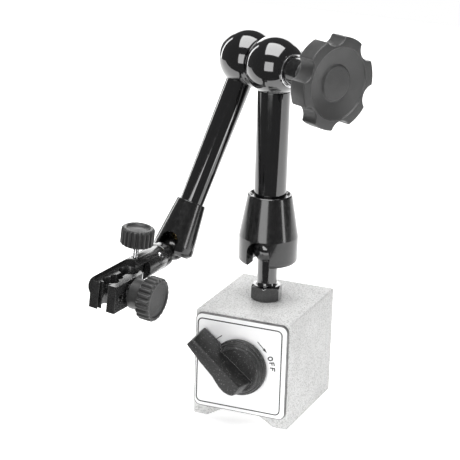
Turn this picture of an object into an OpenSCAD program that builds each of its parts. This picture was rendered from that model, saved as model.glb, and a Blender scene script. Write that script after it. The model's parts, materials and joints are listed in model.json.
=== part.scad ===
// Magnetic stand with a centrally locked two-arm boom and an indicator holder.
// Origin: middle of the base's underside. +Z up, -Y towards the side with the switch. Millimetres.

/* [Base] */
// Width of the magnetic base
base_w = 50; // [48:1:56]
// Depth of the magnetic base
base_d = 60; // [58:1:66]
// Height of the magnetic base
base_h = 55; // [54:0.5:58]
// Width of each flat land beside the V groove
land_w = 7.5; // [6:0.5:9]
// Slope of the V groove's walls in degrees
groove_slope = 30; // [26:1:32]
// Height of the rotor's axis above the underside
rotor_z = 30; // [29:0.5:31]
// Radius of the bore that holds the magnet rotor
rotor_bore_r = 14; // [13:0.25:14.5]

/* [Switch] */
// Radius of the switch knob's flange
switch_r = 14.25; // [14:0.25:16]
// Reach of the lever's tip from the switch axis
lever_reach = 26; // [24:0.5:29]
// Angle of the lever from the +X side, seen from the front
lever_angle = 141; // [135:1:150]

/* [Lower arm] */
// Height of the lower ball's centre
ball_z = 82; // [81:0.5:84]
// Radius of the lower ball
ball_r = 8; // [7.5:0.25:8.25]
// Outer radius of the lower ball socket
socket_r = 14.7; // [14:0.1:15.5]
// Radius of the lower tube
lower_tube_r = 8; // [7.5:0.25:8.25]
// Height of the elbow axis
elbow_z = 174; // [165:1:190]

/* [Elbow] */
// Radius of both ball housings
housing_r = 14.5; // [14:0.1:15]
// Distance between the two housings' centres along the elbow axis
housing_gap = 19; // [18.8:0.1:19.6]
// Turn of the elbow axis from +X towards the switch side
elbow_yaw = 26; // [0:1:40]
// Distance from the front housing's centre to the star knob's face
knob_face_x = 44.2; // [41:0.2:46]
// Outer radius of the star knob
star_r = 22.4; // [21:0.1:25]

/* [Upper arm] */
// Angle of the upper arm from straight down
arm_hang = 27; // [20:1:60]
// Distance from the rear housing's centre to the upper ball's centre
arm_len = 99.8; // [90:0.2:120]
// Turn of the wrist notch about the arm from straight forward
wrist_yaw = 23.4; // [0:0.2:30]
// Tilt of the upper ball stud from square to the arm
wrist_tilt = 25; // [10:1:40]
// Radius of the upper ball
wrist_ball_r = 6; // [5.75:0.05:6.1]

/* [Holder] */
// Roll of the holder about its own axis
holder_roll = -5; // [-10:1:10]
// Radius of the holder's round body
holder_r = 6.3; // [6:0.1:6.5]
// Distance from the upper ball's centre to the rear of the holder's collar
collar_start = 10.5; // [10:0.1:12]
// Length from the collar's rear to the front of the jaws
holder_len = 58.4; // [58:0.1:60]
// Diameter of the innermost stem hole
stem_large_d = 9.53; // [9.5:0.01:9.6]
// Diameter of the outer stem hole
stem_medium_d = 8; // [7.8:0.1:8.1]
// Diameter of the middle stem hole
stem_small_d = 6; // [5.5:0.1:6]

/* [Hidden] */
$fn = 64;

// Clearances
press_gap = 0.02;
run_gap = 0.05;
free_gap = 0.3;
eps = 0.01;

// Base
shim_w = 2;
plate_t = 1.5;
label_t = 0.3;
plate_w = base_w - 1.6;
plate_bottom = 5.4;
plate_top = base_h - 0.8;
plate_corner_r = 3.5;
groove_half = base_w / 2 - land_w;
groove_depth = groove_half * tan(groove_slope);
front_y = -base_d / 2;
back_y = base_d / 2;
stud_thread_r = 4;
stud_thread_depth = 9;
rear_screw_r = 1.5;
plate_face = front_y - plate_t - label_t;

// Rotor
rotor_r = rotor_bore_r - free_gap;
bush_t = 5;
cap_t = 2;
rotor_front = front_y + bush_t + 0.5;
rotor_back = back_y - plate_t - bush_t - 0.5;
magnet_half = 4;
journal_r = 4;
detent_orbit = 9;
detent_r = 1.5;
detent_groove = 0.6;

// Switch knob
switch_back = plate_face - 0.4;
switch_depth = 16;

// Post
hex_af = 14;
hex_h = 7.7;
hex_top = base_h + hex_h;
neck_r = 5;
neck_top = ball_z - sqrt(ball_r * ball_r - neck_r * neck_r);
spigot_r = 3;
spigot_top = ball_z + 4;

// Lower socket, heights from the ball's centre
socket_bottom = -7;
socket_shoulder = 6.4;
socket_top = 27.7;
socket_top_r = 11;
notch_w = 12;
tube_seat = 18;
tube_bore_r = 5;
rod_r = 2.5;
rod_hole_r = 3;
pad_r = 5;
pad_top = 11;
chamber_top = 15;

// Elbow, distances along its axis from the front housing's centre
face_front = -9.2;
face_rear = -9.8;
bolt_r = 3;
cone_bore_r = 7;
cone_r = cone_bore_r - 0.1;
cone_mid_r = 5;
cone_slope = 0.5;
cone_tip = -2;
cone_full = (cone_r - cone_mid_r) / cone_slope;
rod_stand = cone_mid_r + rod_r * sqrt(1 + cone_slope * cone_slope) + 0.03;
tube_end = 11;
collar_end = 22;
rim_t = 9.5;
rim_back = knob_face_x - rim_t;
hub_r = 8;
insert_r = 5;
seat_ring_r = 8.3;
seat_ring_x = 13;
seat_ring_end = 13.5;

// Upper arm, distances from the upper ball's centre
upper_tube_top_r = 6.5;
upper_tube_low_r = 5.9;
upper_tube_bore = 3.4;
upper_rod_r = 2;
upper_socket_r = 10;
upper_socket_top_r = 7.3;
upper_socket_low = -2.6;
upper_socket_high = 24.3;
upper_tube_seat = 17;
upper_notch_w = 9.4;
upper_notch_z = 2.6;
upper_pad_r = 3.4;
upper_pad_top = 8;
upper_chamber_top = 10.6;
upper_rod_stand = cone_mid_r + upper_rod_r * sqrt(1 + cone_slope * cone_slope) + 0.03;

// Holder, distances from the rear of the collar
collar_len = 5.9;
body_start = 6.2;
body_end = 22.6;
split_h = 3.9;
split_gap = 0.4;
pivot_d = 10.7;
pivot_r = 1.3;
spin_r = 2.2;
spin_end = 15;
screw_d = 26.5;
screw_side = -0.5;
fine_screw_r = 1.4;
fine_tip_r = 1;
tongue_low = -4.5;
tongue_high = -1.5;
neck_start = 23.6;
jaw_start = 30.5;
jaw_left = -5;
jaw_right = 8.5;
jaw_top = 2.8;
jaw_bottom = -10.5;
jaw_gap = 3;
jaw_mid = 1.9;
ridge_edge = -3.6;
stem_large_at = 36.2;
stem_small_at = 47;
stem_medium_at = 52.4;
dovetail_mouth = 4.7;
dovetail_floor = 6.4;
dovetail_depth = 1.8;
clamp_at = 42.5;
clamp_h = -4.5;
clamp_screw_r = 1.5;
spare_at = 53.3;
spare_h = -4;
washer_in = 8.7;
washer_out = 9.2;
clamp_collar_r = 7.3;
clamp_rim_r = 10.5;
clamp_rim_in = 15.4;
clamp_face = 22.6;
fine_knob_r = 8;
fine_knob_low = 12.4;
fine_knob_high = 21.1;

// ---- Frames -------------------------------------------------------------------------------

// Elbow: +X along the elbow axis towards the star knob
module at_elbow() translate([0, 0, elbow_z]) rotate([0, 0, -elbow_yaw]) children();

// Upper arm: origin at the rear housing's centre, -Z down the arm
module at_arm() at_elbow() translate([-housing_gap, 0, 0]) rotate([-arm_hang, 0, 0]) children();

// Wrist: origin at the upper ball's centre, +Z up the arm, notch towards -Y
module at_wrist() at_arm() translate([0, 0, -arm_len]) rotate([0, 0, wrist_yaw]) children();

// Holder: origin at the upper ball's centre, -Y forward along the holder, +X the clamp knob's side
module at_stud() at_wrist() rotate([wrist_tilt, 0, 0]) rotate([0, holder_roll, 0]) children();

// Holder frame moved to the rear of the collar
module at_holder() at_stud() translate([0, -collar_start, 0]) children();

// ---- Shared shapes ------------------------------------------------------------------------

// Cylinder along X from x = a to x = b
module x_rod(r, a, b) translate([a, 0, 0]) rotate([0, 90, 0]) cylinder(r = r, h = b - a);

// Cylinder along -Y from distance a to distance b
module f_rod(r, a, b) translate([0, -a, 0]) rotate([90, 0, 0]) cylinder(r = r, h = b - a);

// Box given by its two corners
module box(low, high) translate(low) cube(high - low);

// Housing ball kept only between x = low and x = high
module cut_ball(low, high) rotate([0, 90, 0]) intersection() {
  sphere(r = housing_r);
  translate([0, 0, low]) cylinder(r = housing_r + 1, h = high - low);
}

// Rounded rectangle w by h, centred
module rounded(w, h, r) {
  union() {
    square([w - 2 * r, h], center = true);
    square([w, h - 2 * r], center = true);
    for (x = [-1, 1], y = [-1, 1]) translate([x * (w / 2 - r), y * (h / 2 - r)]) circle(r = r);
  }
}

// Points of one ring of a coil's wire
function coil_ring(r, wire, angle, z, sides) = [
  for (k = [0:sides - 1])
    let (a = 360 * k / sides, q = r + wire * cos(a))
      [q * cos(angle), q * sin(angle), z + wire * sin(a)]
];

// Open coil spring standing on z = 0
module coil(r, wire, height, turns, steps = 12, sides = 6) {
  n = turns * steps;
  rise = (height - 2 * wire) / n;
  points = [for (i = [0:n]) each coil_ring(r, wire, 360 * i / steps, wire + rise * i, sides)];
  walls = [for (i = [0:n - 1], k = [0:sides - 1])
    let (a = i * sides, b = (i + 1) * sides, m = (k + 1) % sides)
      [a + k, b + k, b + m, a + m]];
  first = [for (k = [0:sides - 1]) k];
  last = [for (k = [0:sides - 1]) n * sides + sides - 1 - k];
  polyhedron(points = points, faces = concat(walls, [first, last]));
}

// Cylinder with evenly spaced half-round flutes, standing on z = 0
module fluted(r, h, count, flute_r) {
  difference() {
    cylinder(r = r, h = h);
    for (k = [0:count - 1])
      rotate(360 * k / count) translate([r + flute_r * 0.45, 0, -1])
        cylinder(r = flute_r, h = h + 2, $fn = 24);
  }
}

// ---- Magnetic base ------------------------------------------------------------------------

// Full block with the rotor bore, V groove, stud hole and rear recess taken out
module base_block() {
  difference() {
    box([-base_w / 2, front_y, 0], [base_w / 2, back_y, base_h]);
    translate([0, 0, rotor_z]) f_rod(rotor_bore_r, -back_y - 1, back_y + 1);
    translate([0, back_y + 1, 0]) rotate([90, 0, 0]) linear_extrude(base_d + 2)
      polygon([[-groove_half - 2, -2 * tan(groove_slope)], [groove_half + 2, -2 * tan(groove_slope)],
               [0, groove_depth]]);
    translate([0, 0, base_h - stud_thread_depth - 0.5]) cylinder(r = stud_thread_r, h = 20);
    translate([0, back_y + 1, (plate_top + plate_bottom) / 2 + 3]) rotate([90, 0, 0])
      linear_extrude(plate_t + 1) rounded(base_w - 8, plate_top - plate_bottom - 8, 3);
    rear_screw_places() f_rod(rear_screw_r, -back_y + plate_t - 1, -back_y + plate_t + 6);
  }
}

module rear_screw_places() {
  mid = (plate_top + plate_bottom) / 2 + 3;
  reach_x = (base_w - 8) / 2 - 3.5;
  reach_z = (plate_top - plate_bottom - 8) / 2 - 3.5;
  for (x = [-1, 1], z = [-1, 1]) translate([x * reach_x, 0, mid + z * reach_z]) children();
}

module left_pole() color([0.82, 0.82, 0.81]) intersection() {
  base_block();
  box([-base_w, front_y - 1, -1], [-shim_w / 2, back_y + 1, base_h + 1]);
}

module right_pole() color([0.82, 0.82, 0.81]) intersection() {
  base_block();
  box([shim_w / 2, front_y - 1, -1], [base_w, back_y + 1, base_h + 1]);
}

module centre_spacer() color([0.8, 0.7, 0.4]) intersection() {
  base_block();
  box([-shim_w / 2, front_y - 1, -1], [shim_w / 2, back_y + 1, base_h + 1]);
}

module front_plate() color([0.6, 0.6, 0.6]) difference() {
  translate([0, front_y, (plate_top + plate_bottom) / 2]) rotate([90, 0, 0])
    linear_extrude(plate_t) rounded(plate_w, plate_top - plate_bottom, plate_corner_r);
  translate([0, front_y, rotor_z]) f_rod(journal_r + free_gap, -1, 4);
}

module dial_label() color([0.96, 0.96, 0.96]) difference() {
  translate([0, front_y - plate_t, (plate_top + plate_bottom) / 2]) rotate([90, 0, 0])
    linear_extrude(label_t) rounded(plate_w - 1, plate_top - plate_bottom - 1, plate_corner_r - 0.5);
  translate([0, front_y, rotor_z]) f_rod(journal_r + free_gap, -1, 4);
}

module rear_plate() color([0.75, 0.75, 0.74]) difference() {
  translate([0, back_y, (plate_top + plate_bottom) / 2 + 3]) rotate([90, 0, 0]) linear_extrude(plate_t)
    rounded(base_w - 8.2, plate_top - plate_bottom - 8.2, 2.9);
  rear_screw_places() f_rod(rear_screw_r + 0.15, -back_y - 1, -back_y + plate_t + 1);
}

module rear_plate_screws() color([0.55, 0.55, 0.56]) rear_screw_places() difference() {
  union() {
    f_rod(2.8, -back_y - 1.4, -back_y);
    f_rod(rear_screw_r - press_gap, -back_y, -back_y + plate_t + 4.5);
  }
  box([-3, back_y + 0.8, -0.4], [3, back_y + 2, 0.4]);
}

module front_bush() color([0.78, 0.66, 0.36]) translate([0, 0, rotor_z]) difference() {
  f_rod(rotor_bore_r - press_gap, -front_y - bush_t, -front_y);
  f_rod(journal_r + run_gap, -front_y - bush_t - 1, -front_y + 1);
  translate([detent_orbit, 0, 0]) f_rod(detent_r + run_gap, -front_y - bush_t - 1, -front_y - 0.5);
}

module rear_bush() color([0.78, 0.66, 0.36]) translate([0, 0, rotor_z]) difference() {
  f_rod(rotor_bore_r - press_gap, -back_y + plate_t, -back_y + plate_t + bush_t);
  f_rod(journal_r + run_gap, -back_y + plate_t - 1, -back_y + plate_t + bush_t + 1);
}

// The ball rests in a ring groove in the rotor's front cap
detent_y = rotor_front + detent_groove - 0.1 - detent_r;

module detent_ball() color([0.8, 0.8, 0.82]) translate([detent_orbit, detent_y, rotor_z]) sphere(r = detent_r);

module detent_spring() color([0.6, 0.6, 0.62])
  translate([detent_orbit, front_y + 0.6, rotor_z]) rotate([-90, 0, 0])
    coil(1.1, 0.25, detent_y - detent_r - front_y - 0.65, 3);

// ---- Magnet rotor and switch --------------------------------------------------------------

module rotor_slice(low_x, high_x) translate([0, 0, rotor_z]) intersection() {
  f_rod(rotor_r, -rotor_back + cap_t, -rotor_front - cap_t);
  box([low_x, -base_d, -base_h], [high_x, base_d, base_h]);
}

module rotor_magnet() color([0.35, 0.35, 0.38]) rotor_slice(-magnet_half, magnet_half);

module rotor_left_shoe() color([0.6, 0.6, 0.62]) rotor_slice(-base_w, -magnet_half);

module rotor_right_shoe() color([0.6, 0.6, 0.62]) rotor_slice(magnet_half, base_w);

module rotor_front_cap() color([0.78, 0.66, 0.36]) translate([0, 0, rotor_z]) difference() {
  union() {
    f_rod(rotor_r, -rotor_front - cap_t, -rotor_front);
    f_rod(journal_r, -rotor_front, -switch_back + 5.2);
  }
  rotate([90, 0, 0]) translate([0, 0, -rotor_front - detent_groove]) rotate_extrude()
    translate([detent_orbit - detent_r - 0.1, 0]) square([2 * detent_r + 0.2, 2]);
  translate([0, -(-switch_back + 4), -10]) cylinder(r = 1, h = 20);
}

module rotor_rear_cap() color([0.78, 0.66, 0.36]) translate([0, 0, rotor_z]) union() {
  f_rod(rotor_r, -rotor_back, -rotor_back + cap_t);
  f_rod(journal_r, -back_y + plate_t + 0.5, -rotor_back);
}

// Lever outline seen from the front: one nearly straight flank and one that bulges round the hub
module lever_outline() {
  polygon([[lever_reach - 0.6, -1.3], [lever_reach, 4.1], [15.1, 5.8], [5.5, 6.9], [2.1, 7.8],
           [-0.9, 8.4], [-4.2, 8.5], [-7.3, 7.6], [-9.6, 6], [-9.4, -1.7]]);
}

module switch_knob() color([0.2, 0.2, 0.2]) translate([0, switch_back, rotor_z]) difference() {
  union() {
    f_rod(switch_r, 0, 2.6);
    f_rod(switch_r - 1.2, 2.6, 4.2);
    f_rod(12, 4.2, 6.2);
    rotate([90, 0, 0]) rotate(lever_angle) translate([0, 0, 0.4]) linear_extrude(switch_depth - 0.4)
      lever_outline();
  }
  f_rod(journal_r + press_gap, -1, 5.4);
  translate([0, -4, -10]) cylinder(r = 1, h = 20);
}

module switch_knob_pin() color([0.7, 0.7, 0.72])
  translate([0, switch_back - 4, rotor_z - 8]) cylinder(r = 1 - press_gap, h = 16);

// ---- Post ---------------------------------------------------------------------------------

module post_stud() color([0.08, 0.08, 0.08]) union() {
  translate([0, 0, base_h - stud_thread_depth])
    cylinder(r = stud_thread_r - press_gap, h = stud_thread_depth);
  intersection() {
    translate([0, 0, base_h]) rotate(9) cylinder(r = hex_af / 2 / cos(30), h = hex_h, $fn = 6);
    translate([0, 0, base_h]) rotate_extrude()
      polygon([[0, 0], [7.1, 0], [8.3, 1], [8.3, hex_h - 1.2], [6.9, hex_h], [0, hex_h]]);
  }
  translate([0, 0, hex_top - 0.5]) cylinder(r = neck_r, h = neck_top - hex_top + 0.3);
  translate([0, 0, hex_top]) cylinder(r = spigot_r, h = spigot_top - hex_top);
}

module lower_ball() color([0.06, 0.06, 0.06]) difference() {
  translate([0, 0, ball_z]) sphere(r = ball_r);
  translate([0, 0, ball_z - ball_r - 1])
    cylinder(r = spigot_r + run_gap, h = ball_r + 1 + spigot_top - ball_z + 0.3);
  translate([0, 0, ball_z - ball_r - 1]) cylinder(r = ball_r, h = neck_top - ball_z + ball_r + 1);
}

// ---- Lower arm ----------------------------------------------------------------------------

module lower_socket() color([0.1, 0.1, 0.1]) translate([0, 0, ball_z]) difference() {
  rotate_extrude() polygon([
    [0, socket_bottom], [socket_r - 4, socket_bottom],
    for (a = [-80:10:0]) [socket_r - 4 + 4 * cos(a), socket_bottom + 4 + 4 * sin(a)],
    [socket_r, socket_shoulder], [socket_top_r, socket_top - 0.5],
    [socket_top_r - 0.5, socket_top], [0, socket_top]]);
  sphere(r = ball_r + run_gap);
  translate([0, 0, socket_bottom - 1]) cylinder(r = 7.6, h = -socket_bottom + 1 - 2.6);
  cylinder(r = pad_r + 0.15, h = chamber_top);
  cylinder(r = rod_hole_r, h = socket_top);
  translate([0, 0, tube_seat]) cylinder(r = lower_tube_r + press_gap, h = socket_top);
  translate([0, 0, socket_top - 1.4]) cylinder(r1 = lower_tube_r + 0.6, r2 = socket_top_r - 1, h = 1.5);
  box([-notch_w / 2, -socket_r - 1, socket_bottom - 1], [notch_w / 2, 0, 0]);
  f_rod(notch_w / 2, 0, socket_r + 1);
}

module lower_tube() color([0.04, 0.04, 0.04]) difference() {
  translate([0, 0, ball_z + tube_seat]) cylinder(r = lower_tube_r, h = elbow_z - tube_end - ball_z - tube_seat);
  translate([0, 0, ball_z]) cylinder(r = tube_bore_r, h = elbow_z - ball_z);
}

module front_housing() color([0.04, 0.04, 0.04]) at_elbow() difference() {
  union() {
    cut_ball(face_front, housing_r + 1);
    x_rod(seat_ring_r, 10, seat_ring_x);
  }
  x_rod(cone_bore_r, -4.5, housing_r + 1);
  x_rod(bolt_r + 0.1, -housing_r, housing_r);
  translate([0, 0, -housing_r - 1]) cylinder(r = lower_tube_r + press_gap, h = housing_r + 1 - tube_end);
  translate([0, 0, -housing_r]) cylinder(r = rod_hole_r, h = housing_r);
}

module seat_ring() color([0.8, 0.8, 0.82]) at_elbow() difference() {
  x_rod(seat_ring_r, seat_ring_x, seat_ring_end);
  x_rod(cone_bore_r, seat_ring_x - 1, seat_ring_end + 1);
}

module lower_pad_spring() color([0.7, 0.7, 0.72])
  translate([0, 0, ball_z + pad_top + 0.3]) coil(3.9, 0.4, chamber_top - pad_top - 0.35, 3);

module lower_push_rod() color([0.7, 0.7, 0.72]) union() {
  translate([0, 0, ball_z + pad_top]) cylinder(r = rod_r, h = elbow_z - rod_stand - ball_z - pad_top);
  translate([0, 0, elbow_z - rod_stand]) sphere(r = rod_r);
}

module lower_ball_pad() color([0.78, 0.66, 0.36]) translate([0, 0, ball_z]) difference() {
  cylinder(r = pad_r, h = pad_top);
  sphere(r = ball_r + run_gap);
}

// ---- Elbow --------------------------------------------------------------------------------

// Sleeve that slides on the bolt: its taper pushes the lower rod, its outer end is the black collar
module lock_cone() color([0.06, 0.06, 0.06]) at_elbow() rotate([0, 90, 0]) difference() {
  rotate_extrude() polygon([
    [0, cone_tip], [cone_mid_r + cone_slope * cone_tip, cone_tip], [cone_r, cone_full],
    [cone_r, collar_end - 0.6], [cone_r - 0.6, collar_end], [0, collar_end]]);
  translate([0, 0, cone_tip - 1]) cylinder(r = bolt_r + 0.06, h = collar_end - cone_tip + 2);
}

module star_knob() color([0.33, 0.33, 0.33]) at_elbow() rotate([0, 90, 0]) difference() {
  union() {
    translate([0, 0, collar_end + 0.3]) cylinder(r = hub_r, h = knob_face_x - collar_end - 1);
    translate([0, 0, collar_end + 5])
      cylinder(r1 = hub_r, r2 = star_r - 4, h = rim_back - collar_end - 5 + eps);
    translate([0, 0, rim_back]) difference() {
      cylinder(r = star_r, h = rim_t);
      for (k = [0:5])
        rotate(60 * k + 6.5) translate([star_r + 2.7, 0, -1]) cylinder(r = 6.6, h = rim_t + 2);
    }
  }
  translate([0, 0, knob_face_x - 2.2]) cylinder(r1 = 6.5, r2 = star_r - 4.5, h = 2.2 + eps);
  translate([0, 0, collar_end]) cylinder(r = insert_r + press_gap, h = knob_face_x - 4.5 - collar_end);
}

module knob_insert() color([0.78, 0.66, 0.36]) at_elbow() difference() {
  x_rod(insert_r, collar_end + 0.4, knob_face_x - 4.7);
  x_rod(bolt_r + run_gap, collar_end, knob_face_x);
}

module friction_washer() color([0.5, 0.5, 0.5]) at_elbow() difference() {
  x_rod(9, face_rear + 0.05, face_front - 0.05);
  x_rod(bolt_r + 0.2, face_rear - 1, face_front + 1);
}

// Drawbolt with the taper that pushes the upper rod
module elbow_bolt() color([0.6, 0.6, 0.62]) at_elbow() difference() {
  union() {
    x_rod(bolt_r, -housing_gap, knob_face_x - 6);
    translate([-housing_gap, 0, 0]) rotate([0, -90, 0]) rotate_extrude() polygon([
      [0, cone_tip], [cone_mid_r + cone_slope * cone_tip, cone_tip], [cone_r, cone_full],
      [cone_r, 11.4], [cone_r - 0.6, 12], [0, 12]]);
  }
  box([-housing_gap - 9.5, -1.05, 5.4], [-housing_gap - 5.5, 1.05, 8]);
  x_rod(2.3, -housing_gap - 13, -housing_gap - 10);
}

// ---- Upper arm ----------------------------------------------------------------------------

module rear_housing() color([0.04, 0.04, 0.04]) difference() {
  at_elbow() translate([-housing_gap, 0, 0]) cut_ball(-housing_r - 1, housing_gap + face_rear);
  at_elbow() {
    x_rod(cone_bore_r, -housing_gap - housing_r - 1, -housing_gap + 4.5);
    x_rod(bolt_r + 0.1, -housing_gap, 0);
    translate([-housing_gap - 7.5, 0, 5]) cylinder(r = 1, h = 5);
  }
  at_arm() {
    translate([0, 0, -housing_r - 1])
      cylinder(r = upper_tube_top_r + press_gap, h = housing_r + 1 - tube_end);
    translate([0, 0, -housing_r]) cylinder(r = upper_rod_r + 0.4, h = housing_r);
  }
}

module bolt_key() color([0.7, 0.7, 0.72]) at_elbow()
  translate([-housing_gap - 7.5, 0, 5.6]) cylinder(r = 1 - press_gap, h = 4.3);

module upper_tube() color([0.04, 0.04, 0.04]) at_arm() difference() {
  translate([0, 0, -arm_len + upper_tube_seat])
    cylinder(r1 = upper_tube_low_r, r2 = upper_tube_top_r, h = arm_len - upper_tube_seat - tube_end);
  translate([0, 0, -arm_len]) cylinder(r = upper_tube_bore, h = arm_len);
}

module upper_socket() color([0.1, 0.1, 0.1]) at_wrist() difference() {
  rotate_extrude() polygon([
    [0, upper_socket_low], [upper_socket_r - 3, upper_socket_low],
    for (a = [-80:10:0]) [upper_socket_r - 3 + 3 * cos(a), upper_socket_low + 3 + 3 * sin(a)],
    [upper_socket_r, 2], [upper_socket_top_r, upper_socket_high - 0.4],
    [upper_socket_top_r - 0.4, upper_socket_high], [0, upper_socket_high]]);
  sphere(r = wrist_ball_r + run_gap);
  translate([0, 0, upper_socket_low - 1]) cylinder(r = 5.7, h = -upper_socket_low + 1 - 1.9);
  cylinder(r = upper_pad_r + 0.15, h = upper_chamber_top);
  cylinder(r = upper_rod_r + 0.4, h = upper_socket_high);
  translate([0, 0, upper_tube_seat])
    cylinder(r1 = upper_tube_low_r + press_gap, r2 = upper_tube_low_r + 0.1, h = 10);
  box([-upper_notch_w / 2, -upper_socket_r - 1, upper_socket_low - 1],
      [upper_notch_w / 2, 0, upper_notch_z]);
  translate([0, 0, upper_notch_z]) f_rod(upper_notch_w / 2, 0, upper_socket_r + 1);
}

module upper_pad_spring() color([0.7, 0.7, 0.72]) at_arm()
  translate([0, 0, -arm_len + upper_pad_top + 0.3])
    coil(2.8, 0.25, upper_chamber_top - upper_pad_top - 0.35, 3);

module upper_push_rod() color([0.7, 0.7, 0.72]) at_arm() union() {
  translate([0, 0, -arm_len + upper_pad_top])
    cylinder(r = upper_rod_r, h = arm_len - upper_rod_stand - upper_pad_top);
  translate([0, 0, -upper_rod_stand]) sphere(r = upper_rod_r);
}

module upper_ball_pad() color([0.78, 0.66, 0.36]) at_wrist() difference() {
  cylinder(r = upper_pad_r, h = upper_pad_top);
  sphere(r = wrist_ball_r + run_gap);
}

module upper_ball_stud() color([0.06, 0.06, 0.06]) at_stud() union() {
  sphere(r = wrist_ball_r);
  f_rod(3.4, 0, collar_start + 0.5);
  rotate([90, 0, 0]) translate([0, 0, collar_start]) rotate_extrude() polygon([
    [0, 0], [holder_r - 1.1, 0], [holder_r, 1.1], [holder_r, collar_len - 0.3],
    [holder_r - 0.3, collar_len], [0, collar_len]]);
  difference() {
    f_rod(spin_r, collar_start + 5, collar_start + spin_end);
    rotate([90, 0, 0]) translate([0, 0, collar_start + 11.35]) rotate_extrude()
      translate([1.6, 0]) square([2, 2.7]);
  }
}

// ---- Holder -------------------------------------------------------------------------------

// Lower half of the split holder, with the tongue that the fine screw works against
module holder_body() color([0.09, 0.09, 0.09]) at_holder() difference() {
  union() {
    intersection() {
      f_rod(holder_r, body_start, body_end);
      box([-10, -body_end - 1, -10], [10, -body_start + 1, split_h]);
    }
    box([-2.7, -jaw_start + 0.5, tongue_low], [1.7, -body_end + 1, tongue_high]);
  }
  f_rod(spin_r + run_gap, 0, spin_end + 0.4);
  translate([-10, -pivot_d, split_h]) rotate([0, 90, 0]) cylinder(r = pivot_r, h = 20);
  translate([0, -12.7, -10]) cylinder(r = 1.25, h = 10);
  translate([screw_side, -screw_d, -10]) cylinder(r = fine_tip_r + run_gap, h = 10);
  translate([2.2, -body_end - 0.2, -8]) cylinder(r = 0.5, h = 6.2);
}

module spin_set_screw() color([0.6, 0.6, 0.62]) at_holder() translate([0, -12.7, -5.6]) difference() {
  cylinder(r = 1.25 - press_gap, h = 3.9);
  translate([0, 0, -1]) cylinder(r = 0.6, h = 2, $fn = 6);
}

module rocker_pin() color([0.85, 0.85, 0.86]) at_holder()
  translate([-4.8, -pivot_d, split_h]) rotate([0, 90, 0]) cylinder(r = pivot_r - press_gap, h = 9.6);

module stop_pin() color([0.85, 0.85, 0.86]) at_holder()
  translate([2.2, -body_end - 0.2, -5.7]) cylinder(r = 0.5 - press_gap, h = 3.9);

// Round stock shared by the bar, the neck and the ridge
module arm_round(a, b) f_rod(holder_r, a, b);

module clamp_arm() color([0.09, 0.09, 0.09]) at_holder() difference() {
  union() {
    intersection() {
      arm_round(body_start + 0.2, jaw_start + 0.8);
      box([-10, -jaw_start - 2, split_h + split_gap], [10, 0, 10]);
    }
    intersection() {
      arm_round(neck_start, jaw_start + 0.8);
      box([-10, -jaw_start - 2, -6], [2.7, 0, 10]);
    }
    intersection() {
      arm_round(jaw_start, holder_len);
      union() {
        box([-10, -holder_len - 1, -10], [10, 0, jaw_top]);
        box([-10, -holder_len - 1, -10], [ridge_edge, 0, 10]);
      }
    }
    box([jaw_left, -holder_len, jaw_bottom], [jaw_right, -jaw_start, jaw_top]);
  }
  // sloping rear corner of the right jaw
  translate([0, 0, -15]) linear_extrude(15 + jaw_top + 1)
    polygon([[4.2, -jaw_start + 0.1], [9, -jaw_start + 0.1], [9, -jaw_start - 4.4]]);
  // rocker pin groove
  translate([-10, -pivot_d, split_h]) rotate([0, 90, 0]) cylinder(r = pivot_r + 0.03, h = 20);
  // pocket for the tongue, and the fine screw's hole
  box([-3.3, -jaw_start - 0.2, tongue_low - 0.9], [2.1, -neck_start + 1, tongue_high + 0.9]);
  translate([screw_side, -screw_d, 0]) cylinder(r = fine_screw_r + 0.3, h = 10);
  translate([screw_side, -screw_d, -10]) cylinder(r = fine_tip_r + 0.5, h = 10);
  // stem holes
  translate([jaw_mid, -stem_large_at, -15]) cylinder(d = stem_large_d, h = 25);
  translate([jaw_mid, -stem_small_at, -15]) cylinder(d = stem_small_d, h = 25);
  translate([jaw_mid, -stem_medium_at, -15]) cylinder(d = stem_medium_d, h = 25);
  // slot between the jaws and dovetail at its mouth
  box([jaw_mid - jaw_gap / 2, -holder_len - 1, -15], [jaw_mid + jaw_gap / 2, -stem_large_at, 15]);
  translate([jaw_mid, -holder_len, -15]) linear_extrude(30)
    polygon([[-dovetail_mouth / 2, -eps], [dovetail_mouth / 2, -eps],
             [dovetail_floor / 2, dovetail_depth], [-dovetail_floor / 2, dovetail_depth]]);
  // clamp screw and the spare cross hole
  translate([0, -clamp_at, clamp_h]) x_rod(clamp_screw_r + run_gap, -12, jaw_mid);
  translate([0, -clamp_at, clamp_h]) x_rod(clamp_screw_r + 0.2, jaw_mid, 12);
  translate([0, -spare_at, spare_h]) x_rod(2, -12, 12);
}

module fine_adjust_knob() color([0.22, 0.22, 0.22]) at_holder()
translate([screw_side, -screw_d, fine_knob_low]) difference() {
  fluted(fine_knob_r, fine_knob_high - fine_knob_low, 20, 0.9);
  translate([0, 0, fine_knob_high - fine_knob_low - 1]) cylinder(r1 = 5.2, r2 = 5.8, h = 1 + eps);
  translate([0, 0, -1]) cylinder(r = fine_screw_r + press_gap, h = 6);
}

module fine_screw() color([0.75, 0.75, 0.77]) at_holder() translate([screw_side, -screw_d, 0]) union() {
  translate([0, 0, tongue_high + 0.05]) cylinder(r = fine_screw_r, h = fine_knob_low + 4.8 - tongue_high);
  translate([0, 0, tongue_low + 0.5]) cylinder(r = fine_tip_r, h = 3.5);
}

module clamp_washer() color([0.7, 0.7, 0.72]) at_holder() translate([0, -clamp_at, clamp_h]) difference() {
  x_rod(5, washer_in, washer_out);
  x_rod(clamp_screw_r + 0.1, 0, 20);
}

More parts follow.
